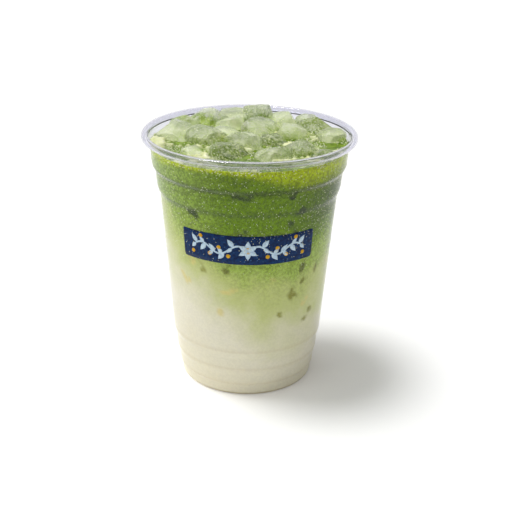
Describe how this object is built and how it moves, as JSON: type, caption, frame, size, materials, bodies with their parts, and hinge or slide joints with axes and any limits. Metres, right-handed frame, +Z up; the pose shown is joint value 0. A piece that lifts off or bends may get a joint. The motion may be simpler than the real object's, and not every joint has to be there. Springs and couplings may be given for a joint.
{
  "type": "iced matcha latte",
  "caption": "Iced layered drink, green tea over milk, with lumps of ice at its surface, in a clear stepped takeaway cup with a rolled rim.",
  "frame": {"origin": "on the cup's axis, at the surface that the cup stands on", "axes": "+Z up along the cup's axis, -Y towards the front of the cup"},
  "size_m": [0.098, 0.098, 0.1223],
  "materials": {
    "cup": "clear glossy thin plastic",
    "milk": "opaque creamy liquid",
    "matcha": "opaque green liquid, wet",
    "ice": "wet cloudy ice"
  },
  "bodies": {
    "root": {"cup": "cup", "milk_layer": "milk", "matcha_layer": "matcha", "ice_01": "ice", "ice_02": "ice", "ice_03": "ice", "ice_04": "ice", "ice_05": "ice", "ice_06": "ice", "ice_07": "ice", "ice_08": "ice", "ice_09": "ice", "ice_10": "ice", "ice_11": "ice", "ice_12": "ice", "ice_13": "ice", "ice_14": "ice", "ice_15": "ice", "ice_16": "ice", "ice_17": "ice", "ice_18": "ice", "ice_19": "ice", "ice_20": "ice", "ice_21": "ice", "ice_22": "ice", "ice_23": "ice", "ice_24": "ice"}
  },
  "joints": []
}
